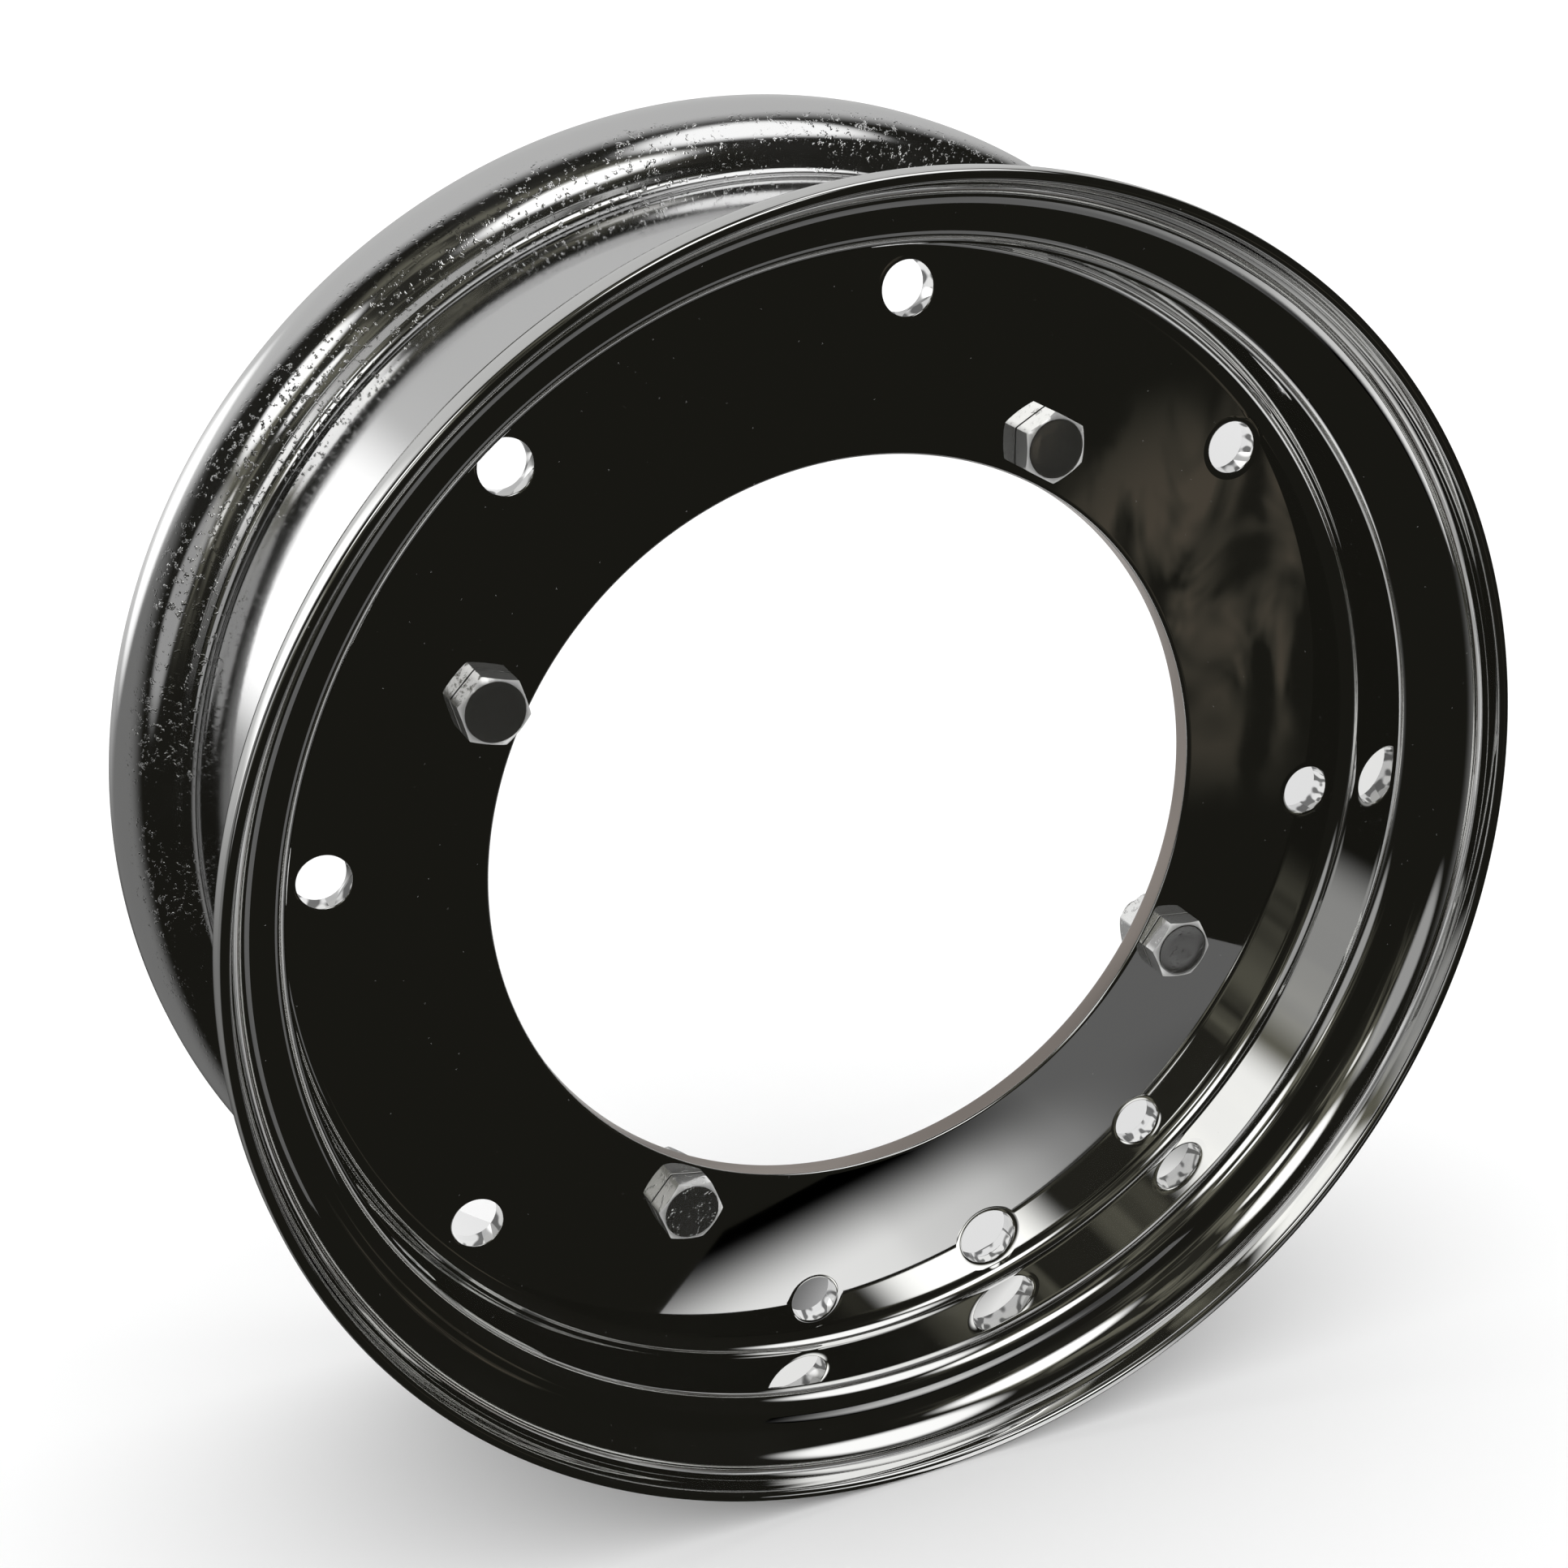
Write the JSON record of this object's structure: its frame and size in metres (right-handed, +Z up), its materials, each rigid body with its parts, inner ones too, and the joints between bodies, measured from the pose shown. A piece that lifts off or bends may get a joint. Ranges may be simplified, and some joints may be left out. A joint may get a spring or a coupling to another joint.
{
  "type": "scooter wheel rim",
  "caption": "Split steel wheel rim for a small scooter tyre: two chromed pressed halves, disc to disc, clamped by hexagon bolts and nuts, with a wide centre hole and fixing holes.",
  "frame": {"origin": "the wheel's centre, on its axis and midway between the two flange lips", "axes": "+Y along the wheel's axis from the outer side to the inner side, +Z up as pictured, +X to the right seen from the outer side"},
  "size_m": [0.282, 0.098, 0.282],
  "materials": {
    "outer_chrome": "polished chrome plating",
    "inner_chrome": "chrome plating over less polished steel",
    "bolt_plating": "bright plated steel",
    "nut_plating": "bright plated steel"
  },
  "bodies": {
    "root": {"outer_rim_half": "outer_chrome", "inner_rim_half": "inner_chrome", "clamp_bolts": "bolt_plating", "clamp_nuts": "nut_plating"}
  },
  "joints": []
}
